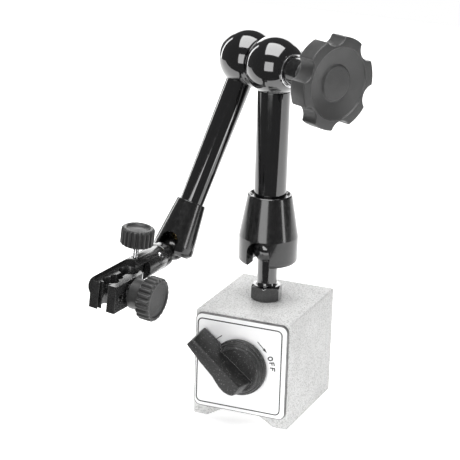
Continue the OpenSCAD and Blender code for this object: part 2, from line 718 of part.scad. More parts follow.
module clamp_knob() color([0.3, 0.3, 0.3]) at_holder()
translate([0, -clamp_at, clamp_h]) rotate([0, 90, 0]) difference() {
  union() {
    translate([0, 0, washer_out + 0.1]) cylinder(r = clamp_collar_r, h = clamp_rim_in - washer_out);
    translate([0, 0, clamp_rim_in]) fluted(clamp_rim_r, clamp_face - clamp_rim_in, 24, 1);
  }
  translate([0, 0, clamp_face - 0.8]) cylinder(r1 = 7.6, r2 = 8.6, h = 0.8 + eps);
  cylinder(r = clamp_screw_r + press_gap, h = clamp_face - 3);
}

module clamp_screw() color([0.75, 0.75, 0.77]) at_holder()
  translate([0, -clamp_at, clamp_h]) x_rod(clamp_screw_r, -4.6, clamp_face - 3.2);

// ---- Output -------------------------------------------------------------------------------

left_pole();
right_pole();
centre_spacer();
front_plate();
dial_label();
rear_plate();
rear_plate_screws();
front_bush();
rear_bush();
detent_ball();
detent_spring();
post_stud();
rotor_magnet();
rotor_left_shoe();
rotor_right_shoe();
rotor_front_cap();
rotor_rear_cap();
switch_knob();
switch_knob_pin();
lower_ball();
lower_socket();
lower_tube();
front_housing();
seat_ring();
lower_pad_spring();
lower_push_rod();
lower_ball_pad();
lock_cone();
star_knob();
knob_insert();
friction_washer();
rear_housing();
upper_tube();
upper_socket();
bolt_key();
upper_pad_spring();
elbow_bolt();
upper_push_rod();
upper_ball_pad();
upper_ball_stud();
holder_body();
spin_set_screw();
rocker_pin();
stop_pin();
clamp_arm();
fine_adjust_knob();
fine_screw();
clamp_washer();
clamp_knob();
clamp_screw();
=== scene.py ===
import json
import math

import bmesh
import bpy
from mathutils import Matrix, Vector


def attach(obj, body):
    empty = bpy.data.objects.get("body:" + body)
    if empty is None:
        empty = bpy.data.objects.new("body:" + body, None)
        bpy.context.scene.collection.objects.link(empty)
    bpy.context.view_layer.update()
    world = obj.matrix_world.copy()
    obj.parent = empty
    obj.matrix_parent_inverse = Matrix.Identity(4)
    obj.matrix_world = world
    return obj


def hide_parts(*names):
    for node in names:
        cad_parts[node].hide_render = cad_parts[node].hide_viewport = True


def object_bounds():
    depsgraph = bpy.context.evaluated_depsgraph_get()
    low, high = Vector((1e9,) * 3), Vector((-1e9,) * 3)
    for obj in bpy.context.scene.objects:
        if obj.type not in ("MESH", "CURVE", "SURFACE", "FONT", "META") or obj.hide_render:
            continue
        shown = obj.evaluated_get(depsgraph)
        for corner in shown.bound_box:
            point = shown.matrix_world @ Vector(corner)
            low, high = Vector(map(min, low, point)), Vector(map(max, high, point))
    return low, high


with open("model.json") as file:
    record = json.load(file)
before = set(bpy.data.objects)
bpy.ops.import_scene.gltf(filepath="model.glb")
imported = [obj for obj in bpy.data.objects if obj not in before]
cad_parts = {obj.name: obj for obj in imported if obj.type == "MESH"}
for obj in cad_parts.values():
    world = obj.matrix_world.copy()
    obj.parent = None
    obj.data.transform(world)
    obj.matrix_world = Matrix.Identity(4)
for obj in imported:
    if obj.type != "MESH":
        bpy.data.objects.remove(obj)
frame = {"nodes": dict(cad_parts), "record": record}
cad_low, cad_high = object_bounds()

MM = 0.001
NODES = frame["nodes"]
scene = bpy.context.scene


# ---- Frames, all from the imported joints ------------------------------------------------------

JOINTS = {j["name"]: j for j in frame["record"]["behaviour"]["joints"]}


def axis_of(joint, sign=1):
    return Vector(JOINTS[joint]["axis"]).normalized() * sign


def place_of(joint):
    return Vector(JOINTS[joint]["pos_m"])


def frame_of(x, z, origin):
    """Matrix with those X and Z directions at origin; local units are millimetres."""
    x = x.normalized()
    z = (z - x * z.dot(x)).normalized()
    y = z.cross(x)
    m = Matrix((x, y, z)).transposed().to_4x4()
    m.translation = origin
    return m @ Matrix.Scale(MM, 4)


UP = Vector((0, 0, 1))
BASE = Matrix.Scale(MM, 4)
ELBOW = frame_of(axis_of("elbow_knob_turn"), UP, place_of("elbow_knob_turn"))
ARM = frame_of(axis_of("elbow_knob_turn"), axis_of("upper_rod_slide"), place_of("elbow_bend"))
WRIST = frame_of(axis_of("upper_tilt", -1), axis_of("upper_rod_slide"), place_of("upper_tilt"))
STUD = frame_of(axis_of("fine_swing"), axis_of("fine_knob_turn"), place_of("upper_tilt"))
HOLDER = STUD @ Matrix.Translation((0, -10.5, 0))
LOWER = Matrix.Translation(place_of("lower_tilt")) @ BASE
Z_TO_X = Matrix.Rotation(math.pi / 2, 4, "Y")
Z_TO_FRONT = Matrix.Rotation(math.pi / 2, 4, "X")


# ---- Materials --------------------------------------------------------------------------------

class Paint:
    """Small helper that builds a node material around one Principled shader."""

    def __init__(self, name, color, rough, metal=0.0, coat=0.0, coat_rough=0.05, specular=0.5):
        self.mat = bpy.data.materials.new(name)
        self.mat.use_nodes = True
        self.tree = self.mat.node_tree
        self.bsdf = self.tree.nodes["Principled BSDF"]
        self.bsdf.inputs["Base Color"].default_value = (*color, 1)
        self.bsdf.inputs["Roughness"].default_value = rough
        self.bsdf.inputs["Metallic"].default_value = metal
        self.bsdf.inputs["Coat Weight"].default_value = coat
        self.bsdf.inputs["Coat Roughness"].default_value = coat_rough
        self.bsdf.inputs["Specular IOR Level"].default_value = specular
        self.coord = self.node("ShaderNodeTexCoord").outputs["Object"]
        self.height = None

    def node(self, kind, **settings):
        n = self.tree.nodes.new(kind)
        for key, value in settings.items():
            setattr(n, key, value)
        return n

    def link(self, a, b):
        self.tree.links.new(a, b)

    def noise(self, scale, detail=4.0, stretch=None, rough=0.5, kind="FBM"):
        n = self.node("ShaderNodeTexNoise", noise_type=kind)
        n.inputs["Scale"].default_value = scale
        n.inputs["Detail"].default_value = detail
        n.inputs["Roughness"].default_value = rough
        source = self.coord
        if stretch:
            m = self.node("ShaderNodeMapping")
            m.inputs["Scale"].default_value = stretch
            self.link(self.coord, m.inputs["Vector"])
            source = m.outputs["Vector"]
        self.link(source, n.inputs["Vector"])
        return n.outputs["Fac"]

    def cells(self, scale):
        n = self.node("ShaderNodeTexVoronoi", feature="SMOOTH_F1")
        n.inputs["Scale"].default_value = scale
        self.link(self.coord, n.inputs["Vector"])
        return n.outputs["Distance"]

    def span(self, value, low, high, to_low, to_high):
        n = self.node("ShaderNodeMapRange")
        ends = {"From Min": low, "From Max": high, "To Min": to_low, "To Max": to_high}
        for key, number in ends.items():
            n.inputs[key].default_value = number
        self.link(value, n.inputs["Value"])
        return n.outputs["Result"]

    def blend(self, factor, a, b):
        n = self.node("ShaderNodeMix", data_type="RGBA")
        self.link(factor, n.inputs[0])
        for socket, value in ((n.inputs[6], a), (n.inputs[7], b)):
            if isinstance(value, tuple):
                socket.default_value = (*value, 1)
            else:
                self.link(value, socket)
        return n.outputs[2]

    def color(self, out):
        self.link(out, self.bsdf.inputs["Base Color"])

    def rough(self, out):
        self.link(out, self.bsdf.inputs["Roughness"])

    def bump(self, out, strength, distance):
        n = self.node("ShaderNodeBump")
        n.inputs["Strength"].default_value = strength
        n.inputs["Distance"].default_value = distance
        self.link(out, n.inputs["Height"])
        if self.height is not None:
            self.link(self.height, n.inputs["Normal"])
        self.height = n.outputs["Normal"]
        self.link(self.height, self.bsdf.inputs["Normal"])
        return self

    def edges(self, radius, low=0.02, high=0.12):
        """0 on flat faces, 1 on outer edges: the angle between a rounded normal and the real one."""
        bevel = self.node("ShaderNodeBevel", samples=4)
        bevel.inputs["Radius"].default_value = radius
        geometry = self.node("ShaderNodeNewGeometry")
        dot = self.node("ShaderNodeVectorMath", operation="DOT_PRODUCT")
        self.link(bevel.outputs["Normal"], dot.inputs[0])
        self.link(geometry.outputs["Normal"], dot.inputs[1])
        return self.span(dot.outputs["Value"], 1 - low, 1 - high, 0, 1)


def hammered_paint():
    p = Paint("hammered_paint", (0.6, 0.6, 0.595), 0.45, specular=0.4)
    grain = p.noise(1250, 3, rough=0.8)
    cells = p.cells(800)
    dark = p.span(grain, 0.50, 0.62, 0, 1)
    cloud = p.span(p.noise(60, 3), 0.35, 0.65, 0, 1)
    base = p.blend(cloud, (0.60, 0.60, 0.595), (0.68, 0.68, 0.675))
    speckled = p.blend(dark, base, (0.36, 0.36, 0.355))
    p.color(p.blend(p.edges(0.0009, 0.01, 0.2), speckled, (0.30, 0.30, 0.30)))
    p.rough(p.span(grain, 0.3, 0.7, 0.38, 0.6))
    p.bump(cells, 0.5, 0.0003).bump(grain, 0.45, 0.00016)
    return p.mat


def ground_steel():
    p = Paint("ground_steel", (0.6, 0.6, 0.61), 0.3, metal=1)
    lines = p.noise(300, 3, stretch=(1, 40, 1))
    p.color(p.blend(lines, (0.5, 0.5, 0.51), (0.7, 0.7, 0.7)))
    p.rough(p.span(lines, 0.3, 0.7, 0.22, 0.4))
    p.bump(lines, 0.15, 0.00003)
    return p.mat


def gloss_black():
    p = Paint("gloss_black", (0.004, 0.004, 0.0045), 0.07, coat=1.0, coat_rough=0.02, specular=0.9)
    wave = p.noise(90, 2)
    p.rough(p.span(p.noise(420, 4), 0.3, 0.7, 0.05, 0.12))
    p.bump(wave, 0.03, 0.0006)
    return p.mat


def satin_black():
    p = Paint("satin_black", (0.007, 0.007, 0.007), 0.2, coat=0.6, coat_rough=0.07, specular=0.5)
    grain = p.noise(1500, 3, rough=0.65)
    spots = p.noise(520, 4, rough=0.6)
    cloud = p.span(spots, 0.35, 0.7, 0, 1)
    p.color(p.blend(cloud, (0.006, 0.006, 0.0063), (0.014, 0.014, 0.014)))
    p.rough(p.span(spots, 0.3, 0.7, 0.15, 0.26))
    p.bump(grain, 0.08, 0.00005)
    return p.mat


def holder_black():
    p = Paint("holder_black", (0.02, 0.02, 0.02), 0.26, coat=0.5, coat_rough=0.14, specular=0.6)
    grain = p.noise(1800, 3, rough=0.65)
    # painted highlight: the edges are painted lighter grey (0.10) than the black body
    edge_highlight = p.edges(0.00035)
    cloud = p.span(p.noise(260, 4), 0.35, 0.7, 0, 1)
    shade = p.blend(cloud, (0.008, 0.008, 0.0083), (0.024, 0.024, 0.024))
    p.color(p.blend(edge_highlight, shade, (0.10, 0.10, 0.10)))
    p.rough(p.span(grain, 0.3, 0.7, 0.2, 0.34))
    p.bump(grain, 0.08, 0.00004)
    return p.mat


def moulded(name, color, light, rough, speck=0.0):
    """Moulded plastic: fine pitted skin, cloudy shade, edges painted lighter as a highlight."""
    p = Paint(name, color, rough, specular=0.45)
    pits = p.noise(1300, 4, rough=0.7)
    shades = [tuple(c * gain for c in color) for gain in (0.86, 1.14)]
    cloud = p.blend(p.span(p.noise(120, 4), 0.3, 0.7, 0, 1), *shades)
    # painted highlight: the edges get the lighter colour
    edge_highlight = p.edges(0.0005, 0.01, 0.1)
    shade = p.blend(edge_highlight, cloud, light)
    if speck:
        specks = p.span(p.noise(1100, 2, rough=0.8), 0.60, 0.70, 0, speck)
        shade = p.blend(specks, shade, (0.45, 0.45, 0.45))
    p.color(shade)
    p.rough(p.span(pits, 0.3, 0.7, rough - 0.08, rough + 0.12))
    p.bump(pits, 0.25, 0.00012)
    return p.mat


def turned(name, dark, light, rough, metal=1.0):
    """Turned metal: fine rings and slight tarnish."""
    p = Paint(name, light, rough, metal=metal)
    tarnish = p.noise(240, 4)
    fine = p.noise(2600, 2)
    p.color(p.blend(p.span(tarnish, 0.35, 0.7, 0, 1), light, dark))
    p.rough(p.span(fine, 0.3, 0.7, rough * 0.7, rough * 1.4))
    p.bump(fine, 0.08, 0.00003)
    return p.mat


def label_white():
    p = Paint("label_white", (0.9, 0.9, 0.9), 0.32, coat=0.35, coat_rough=0.12)
    cloud = p.span(p.noise(70, 3), 0.3, 0.7, 0, 1)
    p.color(p.blend(cloud, (0.88, 0.88, 0.885), (0.93, 0.93, 0.93)))
    p.bump(p.noise(500, 3), 0.05, 0.00004)
    return p.mat


def print_black():
    p = Paint("print_black", (0.02, 0.02, 0.02), 0.4)
    cloud = p.span(p.noise(900, 3), 0.3, 0.7, 0, 1)
    p.color(p.blend(cloud, (0.012, 0.012, 0.012), (0.04, 0.04, 0.04)))
    return p.mat


MAT = {
    "hammered_paint": hammered_paint(),
    "ground_steel": ground_steel(),
    "gloss_black": gloss_black(),
    "satin_black": satin_black(),
    "holder_black": holder_black(),
    "plate_metal": turned("plate_metal", (0.14, 0.14, 0.14), (0.24, 0.24, 0.24), 0.4),
    "label_white": label_white(),
    "print_black": print_black(),
    "dark_plastic": moulded("dark_plastic", (0.010, 0.010, 0.010), (0.16, 0.16, 0.16), 0.34, speck=0.3),
    "knob_plastic": moulded("knob_plastic", (0.035, 0.035, 0.035), (0.15, 0.15, 0.15), 0.34),
    "grey_plastic": moulded("grey_plastic", (0.048, 0.048, 0.048), (0.17, 0.17, 0.17), 0.34),
    "steel": turned("steel", (0.42, 0.42, 0.43), (0.62, 0.62, 0.63), 0.26),
    "bright_steel": turned("bright_steel", (0.72, 0.72, 0.73), (0.86, 0.86, 0.87), 0.12),
    "brass": turned("brass", (0.52, 0.38, 0.16), (0.78, 0.62, 0.32), 0.25),
    "magnet": turned("magnet", (0.16, 0.16, 0.17), (0.26, 0.26, 0.27), 0.45),
}


# ---- Mesh helpers -----------------------------------------------------------------------------

def fillet(points, steps=5):
    """Rounds the corners of a 2D path. Each point is (a, b) or (a, b, radius)."""
    out = []
    count = len(points)
    for i, point in enumerate(points):
        radius = point[2] if len(point) > 2 else 0
        here = Vector(point[:2])
        if not radius or i in (0, count - 1):
            out.append(here)
            continue
        before, after = Vector(points[i - 1][:2]), Vector(points[i + 1][:2])
        u, v = (before - here).normalized(), (after - here).normalized()
        half = math.acos(max(-1, min(1, u.dot(v)))) / 2
        room = 0.49 * min((before - here).length, (after - here).length)
        reach = min(radius / math.tan(half), room)
        radius = reach * math.tan(half)
        centre = here + (u + v).normalized() * (radius / math.sin(half))
        start = here + u * reach - centre
        end = here + v * reach - centre
        turn = start.angle(end)
        for k in range(steps + 1):
            t = k / steps
            spoke = start * math.sin((1 - t) * turn) + end * math.sin(t * turn)
            out.append(centre + spoke / math.sin(turn))
    return out


def arc(cx, cy, radius, start, end, steps=12):
    """Points of an arc, angles in degrees."""
    angles = [math.radians(start + (end - start) * k / steps) for k in range(steps + 1)]
    return [(cx + radius * math.cos(a), cy + radius * math.sin(a)) for a in angles]


def around(steps):
    """Angles of one full turn in equal steps, in radians."""
    return [2 * math.pi * k / steps for k in range(steps)]


def at(radius, angle, z):
    """Point at a radius and an angle round Z."""
    return Vector((radius * math.cos(angle), radius * math.sin(angle), z))


def finish_mesh(name, bm, matrix, material, smooth_angle=35):
    bmesh.ops.remove_doubles(bm, verts=bm.verts, dist=1e-6)
    bmesh.ops.recalc_face_normals(bm, faces=bm.faces)
    mesh = bpy.data.meshes.new(name)
    bm.to_mesh(mesh)
    bm.free()
    mesh.transform(matrix)
    if matrix.determinant() < 0:
        mesh.flip_normals()
    obj = bpy.data.objects.new(name, mesh)
    scene.collection.objects.link(obj)
    mesh.materials.append(MAT[material])
    smooth(obj, smooth_angle)
    return obj


def smooth(obj, angle=35):
    obj.data.shade_smooth()
    obj.data.set_sharp_from_angle(angle=math.radians(angle))


def rings_mesh(name, rings, matrix, material, closed=False, caps=True, angle=35):
    """Skins a list of rings of points; a ring of one point is a pole."""
    bm = bmesh.new()
    made = [[bm.verts.new(p) for p in ring] for ring in rings]
    pairs = list(zip(made, made[1:])) + ([(made[-1], made[0])] if closed else [])
    for a, b in pairs:
        n = max(len(a), len(b))
        for k in range(n):
            corners = []
            for v in (a[k % len(a)], a[(k + 1) % len(a)], b[(k + 1) % len(b)], b[k % len(b)]):
                if v not in corners:
                    corners.append(v)
            if len(corners) > 2:
                bm.faces.new(corners)
    if caps and not closed:
        for ring in (made[0], made[-1]):
            if len(ring) > 2:
                bm.faces.new(ring)
    return finish_mesh(name, bm, matrix, material, angle)


def lathe(name, profile, matrix, material, steps=128, closed=False, angle=35):
    """Turns (radius, z) points about Z. closed joins the last point to the first, round a hole."""
    rings = []
    for r, z in profile:
        if r < 1e-6:
            rings.append([Vector((0, 0, z))])
        else:
            rings.append([at(r, a, z) for a in around(steps)])
    return rings_mesh(name, rings, matrix, material, closed=closed, caps=not closed, angle=angle)


def prism(name, outline, low, high, matrix, material, angle=35):
    """Straight prism of a 2D outline from z = low to z = high."""
    rings = [[Vector((p[0], p[1], z)) for p in outline] for z in (low, high)]
    return rings_mesh(name, rings, matrix, material, angle=angle)


def rounded_outline(w, h, r, cx=0, cy=0, steps=8):
    points = []
    for x, y, start in ((1, 1, 0), (-1, 1, 90), (-1, -1, 180), (1, -1, 270)):
        points += arc(cx + x * (w / 2 - r), cy + y * (h / 2 - r), r, start, start + 90, steps)
    return points


def modify(obj, kind, **settings):
    m = obj.modifiers.new(kind.lower(), kind)
    for key, value in settings.items():
        setattr(m, key, value)
    return m


def apply(obj):
    """Makes the modifiers' result the object's own mesh."""
    graph = bpy.context.evaluated_depsgraph_get()
    mesh = bpy.data.meshes.new_from_object(obj.evaluated_get(graph))
    obj.modifiers.clear()
    obj.data = mesh
    return obj


def cut(obj, *tools, operation="DIFFERENCE"):
    for tool in tools:
        modify(obj, "BOOLEAN", object=tool, operation=operation, solver="EXACT")
    apply(obj)
    for tool in tools:
        bpy.data.objects.remove(tool)
    return obj


def bevel(obj, width, segments=2, angle=35):
    modify(obj, "BEVEL", width=width * MM, segments=segments, limit_method="ANGLE",
           angle_limit=math.radians(angle), harden_normals=False)
    apply(obj)
    smooth(obj, 40)
    return obj


def piece(obj, body, slot, *nodes):
    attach(obj, body)
    if nodes:
        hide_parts(*nodes)
    return obj


# ---- Magnetic base ----------------------------------------------------------------------------

BASE_W, BASE_D, BASE_H = 50, 60, 55
GROOVE_HALF = 17.5
GROOVE_TOP = GROOVE_HALF * math.tan(math.radians(30))
RECESS_W, RECESS_H, RECESS_R, RECESS_Z, RECESS_DEPTH = 42, 40.8, 3, 32.8, 1.5
SWITCH_Z = 30
SIDE = Matrix.Rotation(math.pi / 2, 4, "X")      # a prism's Z becomes -Y, its Y becomes Z

casting = prism("base_casting",
                [(-BASE_W / 2, 0), (-GROOVE_HALF, 0), (0, GROOVE_TOP), (GROOVE_HALF, 0),
                 (BASE_W / 2, 0), (BASE_W / 2, BASE_H), (-BASE_W / 2, BASE_H)],
                -BASE_D / 2, BASE_D / 2, BASE @ SIDE, "hammered_paint")
bevel(casting, 0.8, 3)
recess = prism("tool", rounded_outline(RECESS_W, RECESS_H, RECESS_R, 0, RECESS_Z),
               -BASE_D / 2 - 1, -BASE_D / 2 + RECESS_DEPTH, BASE @ SIDE, "hammered_paint")
cut(casting, recess)
casting.data.materials.append(MAT["ground_steel"])
for face in casting.data.polygons:                # the ground feet
    if face.normal.z < -0.95 and face.center.z < 0.002:
        face.material_index = 1
smooth(casting, 40)
piece(casting, "base", "hammered_paint", "left_pole", "right_pole", "centre_spacer")


def dial_print():
    """Border line, two arrows and the letters, as thin raised ink."""
    bm = bmesh.new()
    ink_low, ink_high = 31.80, 31.84

    def bar(outline):
        bottom = [bm.verts.new((x, -ink_low, z + SWITCH_Z)) for x, z in outline]
        top = [bm.verts.new((x, -ink_high, z + SWITCH_Z)) for x, z in outline]
        bm.faces.new(top)
        bm.faces.new(bottom[::-1])
        for k in range(len(outline)):
            n = (k + 1) % len(outline)
            bm.faces.new((bottom[k], bottom[n], top[n], top[k]))

    def stroke(a, b, width):
        a, b = Vector(a), Vector(b)
        side = (b - a).normalized().orthogonal() * width / 2
        bar([a + side, b + side, b - side, a - side])

    outer = rounded_outline(44.7, 44.3, 2.7, -0.8, -0.4)
    inner = rounded_outline(43.5, 43.1, 2.1, -0.8, -0.4)
    for k in range(len(outer)):
        n = (k + 1) % len(outer)
        bar([outer[k], outer[n], inner[n], inner[k]])

    def polar(radius, degrees):
        return at(radius, math.radians(degrees), 0).xy

    for start, end in (((16.6, 58.6), (16.6, 33.5)), ((17.4, 125.5), (18.4, 147))):
        a, b = polar(*start), polar(*end)
        along = (b - a).normalized()
        side = along.orthogonal()
        stroke(a, b - along * 2.0, 0.42)
        heel = b - along * 2.6
        bar([b, heel + side * 0.75, heel - side * 0.75])

    letters = {
        "O": [],
        "F": [((-0.8, -1.3), (-0.8, 1.3)), ((-0.8, 1.14), (0.8, 1.14)), ((-0.8, 0.05), (0.55, 0.05))],
        "N": [((-0.85, -1.3), (-0.85, 1.3)), ((0.85, -1.3), (0.85, 1.3)), ((-0.85, 1.1), (0.85, -1.1))],
    }
    for letter, degrees in (("O", 22.8), ("F", 12.7), ("F", 3.6), ("O", 176.0), ("N", 166.0)):
        centre = polar(17.0, degrees)
        up = centre.normalized()
        right = Vector((up.y, -up.x))
        place = lambda p: centre + right * p[0] + up * p[1]
        for a, b in letters[letter]:
            stroke(place(a), place(b), 0.56)
        if letter == "O":
            ring = 20
            for k in range(ring):
                t, s = 2 * math.pi * k / ring, 2 * math.pi * (k + 1) / ring
                bar([place((math.cos(q) * a, math.sin(q) * b)) for q, a, b in
                     ((t, 1.2, 1.45), (s, 1.2, 1.45), (s, 0.64, 0.89), (t, 0.64, 0.89))])
    return finish_mesh("dial_print", bm, BASE, "print_black", 30)


piece(dial_print(), "base", "dark_plastic")

# Hexagon stud: hexagon between two chamfers, then the neck up to the ball
HEX_AF, HEX_LOW, HEX_HIGH = 14, 55, 62.7
HEX_TURN = math.radians(9)
FOOT_R, CORNER_R, CROWN_R = 6.9, 8.2, 6.85
NECK_R, NECK_TOP = 5.0, 76.0


def hex_ring(limit, z, steps=180):
    """Ring of the hexagon, cut back to the limit where a chamfer takes its corners off."""
    ring = []
    for a in around(steps):
        flat = HEX_AF / 2 / math.cos((a - HEX_TURN + math.pi / 6) % (math.pi / 3) - math.pi / 6)
        ring.append(at(min(flat, limit), a, z))
    return ring


neck = fillet([(CROWN_R, 62.6), (6.6, 62.75, 0.1), (5.3, 62.9, 0.5), (NECK_R, 64.2, 0.8),
               (NECK_R, NECK_TOP)])
stud_rings = [[Vector((0, 0, HEX_LOW))], hex_ring(FOOT_R, HEX_LOW)]
stud_rings += [hex_ring(FOOT_R + (CORNER_R - FOOT_R) * t / 6, HEX_LOW + 1.0 * t / 6)
               for t in range(1, 7)]
stud_rings += [hex_ring(CORNER_R - (CORNER_R - CROWN_R) * t / 6, HEX_HIGH - 1.25 + 1.15 * t / 6)
               for t in range(0, 7)]
stud_rings += [hex_ring(r, z) for r, z in neck[1:]]
stud_rings.append([Vector((0, 0, NECK_TOP))])
piece(rings_mesh("post_stud_skin", stud_rings, BASE, "gloss_black", angle=28),
      "base", "blackened_steel", "post_stud")


# ---- Switch knob ------------------------------------------------------------------------------

KNOB_BACK = -32.2
KNOB = Matrix.Translation((0, KNOB_BACK * MM, SWITCH_Z * MM)) @ BASE @ Z_TO_FRONT
LEVER_ANGLE = math.radians(141.1)
disc = lathe("switch_knob_skin",
             fillet([(0, 0), (13.7, 0, 0.3), (14.25, 0.6, 0.3), (14.25, 2.5, 0.5), (13.3, 2.6, 0.3),
                     (13.1, 4.1, 0.5), (12.1, 4.3, 0.4), (11.8, 6.2, 0.6), (11.1, 6.3, 0.3),
                     (10.7, 5.9, 0.3), (0, 5.9)]), KNOB, "dark_plastic")


def lever(height_low, height_high):
    """Lever with a straight flank and one that bulges round the hub, both leaning in to the front."""
    front = [(24.7, 0.9), (25.3, -3.7), (15.1, -5.2), (5.5, -6.1), (2.2, -7.0), (-0.6, -7.6),
             (-3.6, -7.7), (-6.2, -6.9), (-8.1, -5.6), (-7.7, 0.9)]
    back = [(25.6, 1.8), (26.2, -4.4), (15.2, -6.4), (5.6, -7.6), (2.0, -8.6), (-1.2, -9.2),
            (-4.8, -9.3), (-8.4, -8.2), (-11.2, -6.4), (-11.0, 2.6)]
    bm = bmesh.new()
    turn = Matrix.Rotation(LEVER_ANGLE, 3, "Z")
    rings = [[bm.verts.new(turn @ Vector((a, -b, z))) for a, b in outline]
             for outline, z in ((back, height_low), (front, height_high))]
    bm.faces.new(rings[1])
    bm.faces.new(rings[0][::-1])
    for k in range(len(front)):
        n = (k + 1) % len(front)
        bm.faces.new((rings[0][k], rings[0][n], rings[1][n], rings[1][k]))
    return finish_mesh("lever", bm, KNOB, "dark_plastic")


handle = lever(0.5, 16.0)
modify(handle, "BEVEL", width=0.7 * MM, segments=3, limit_method="ANGLE",
       angle_limit=math.radians(30))
apply(handle)
cut(disc, handle, operation="UNION")
smooth(disc, 32)
piece(disc, "switch", "dark_plastic", "switch_knob")


# ---- Lower arm --------------------------------------------------------------------------------

piece(lathe("lower_ball_skin", [(0, -7.999)] + arc(0, 0, 8, -86, 86, 40) + [(0, 7.999)],
            LOWER, "gloss_black"), "lower_ball", "blackened_steel", "lower_ball")


def socket(name, matrix, outer, bore, ball, mouth, rod, seat, notch, rise, depth, reach):
    """Turned socket with its ball cavity, then the notch cut through its front wall."""
    top = outer[-1][1]
    low = outer[0][1]
    mouth_z = -math.sqrt(ball ** 2 - mouth ** 2)
    inner = [(bore + 0.6, top - 1.4), (bore, top - 1.5), (bore, seat), (rod, seat)]
    inner += arc(0, 0, ball, math.degrees(math.acos(rod / ball)),
                 math.degrees(math.asin(mouth_z / ball)), 24)
    inner += [(mouth, low)]
    body = lathe(name, fillet(outer) + inner, matrix, "satin_black", closed=True, steps=144)
    slot = prism("tool", [(notch, -depth)] + arc(0, rise, notch, 0, 180, 32) + [(-notch, -depth)],
                 0.0, reach, matrix @ Z_TO_FRONT, "satin_black")
    cut(body, slot)
    smooth(body, 32)
    return body


piece(socket("lower_socket_skin", LOWER,
             [(7.6, -7), (10.7, -7, 0.3), (14.7, -6.9, 4.0), (14.7, 6.4, 2.0), (11.0, 27.2, 0.5),
              (10.5, 27.7, 0.3), (9.9, 27.7)],
             bore=8.06, ball=8.05, mouth=7.6, rod=3.0, seat=18, notch=6.0, rise=0, depth=9, reach=17),
      "lower_arm", "satin_black", "lower_socket")
piece(lathe("lower_tube_skin",
            fillet([(0, 18), (8, 18), (8, 79.7, 0.35), (7.5, 80.2), (7.5, 82.5), (0, 82.5)]),
            LOWER, "gloss_black"), "lower_arm", "gloss_black", "lower_tube")

# Both ball housings: a flat face towards the other one, a small edge, then the sphere
BALL_R, FACE_Z = 14.5, -9.2
BALL_START = math.degrees(math.asin(FACE_Z / BALL_R)) + 1.2
EDGE_R = math.sqrt(BALL_R ** 2 - FACE_Z ** 2)
BALL_FLAT = [(0, FACE_Z), (EDGE_R - 0.35, FACE_Z), (EDGE_R - 0.12, FACE_Z + 0.06)]
BOSS_ANGLE = math.degrees(math.acos(8.3 / BALL_R))

piece(lathe("front_housing_skin", BALL_FLAT + arc(0, 0, BALL_R, BALL_START, BOSS_ANGLE, 72)
            + [(8.2, 12.95), (8.1, 13.0), (0, 13.0)],
            ELBOW @ Z_TO_X, "gloss_black", steps=160), "lower_arm", "gloss_black", "front_housing")
piece(lathe("seat_ring_skin",
            [(7.05, 12.9), (8.1, 13.0), (8.2, 13.1), (8.2, 13.35), (8.05, 13.5), (7.2, 13.5),
             (7.05, 13.35)], ELBOW @ Z_TO_X, "bright_steel", closed=True),
      "lower_arm", "bright_steel", "seat_ring")


# ---- Elbow ------------------------------------------------------------------------------------

piece(lathe("lock_collar_skin",
            fillet([(0, 11.5), (6.9, 11.5), (6.9, 21.6, 0.4), (6.4, 22.0, 0.2), (0, 22)]),
            ELBOW @ Z_TO_X, "satin_black"), "lock_cone", "satin_black", "lock_cone")

STAR_R, FACE_X, RIM_T = 22.4, 44.2, 9.5
STAR_TURN = 6.5
SCALLOP_AT, SCALLOP_R = STAR_R + 2.7, 6.6
SOFT = 0.75                 # size of the soft corner where a scallop meets a lobe
BACK_ROUND, FACE_ROUND = 0.9, 0.6


def star_radius(angle, inset):
    """Six lobes with round scallops between them."""
    local = (math.degrees(angle) - STAR_TURN + 30) % 60 - 30
    a = math.radians(local)
    reach = SCALLOP_R ** 2 - (SCALLOP_AT * math.sin(a)) ** 2
    inside = reach > 0 and abs(local) < 25
    edge = SCALLOP_AT * math.cos(a) - math.sqrt(reach) if inside else STAR_R
    r = -math.log(math.exp(-edge / SOFT) + math.exp(-STAR_R / SOFT)) * SOFT
    r += SOFT * math.log(2) * math.exp(-abs(edge - STAR_R) / SOFT)
    return r - inset


def star_ring(x, inset, steps=360):
    return [at(star_radius(a, inset), a, x) for a in around(steps)]


def round_rings(profile, steps=360):
    """Round rings through a filleted (radius, z) profile."""
    return [[at(r, a, z) for a in around(steps)] for r, z in fillet(profile)]


back = FACE_X - RIM_T
rings = [[Vector((0, 0, 22.3))]]
rings += round_rings([(7.2, 22.3), (8, 22.9, 0.3), (8.2, 26.5, 2), (17.0, back, 0.8), (17.5, back)])
for t in (0, 22, 45, 68, 90):
    a = math.radians(t)
    rings.append(star_ring(back + BACK_ROUND - BACK_ROUND * math.cos(a),
                           BACK_ROUND - BACK_ROUND * math.sin(a)))
for t in (0, 18, 36, 54, 72, 90):
    a = math.radians(t)
    rings.append(star_ring(FACE_X - FACE_ROUND + FACE_ROUND * math.sin(a),
                           FACE_ROUND - FACE_ROUND * math.cos(a)))
rings += round_rings([(17.8, FACE_X), (17.5, FACE_X, 0.2), (17.1, FACE_X - 0.6, 0.3),
                      (9.0, FACE_X - 2.3, 0.5), (8.1, FACE_X - 1.4, 0.3), (7.5, FACE_X - 1.35)])
rings.append([Vector((0, 0, FACE_X - 1.35))])
piece(rings_mesh("star_knob_skin", rings, ELBOW @ Z_TO_X, "grey_plastic", angle=38),
      "star_knob", "grey_plastic", "star_knob")


# ---- Upper arm --------------------------------------------------------------------------------

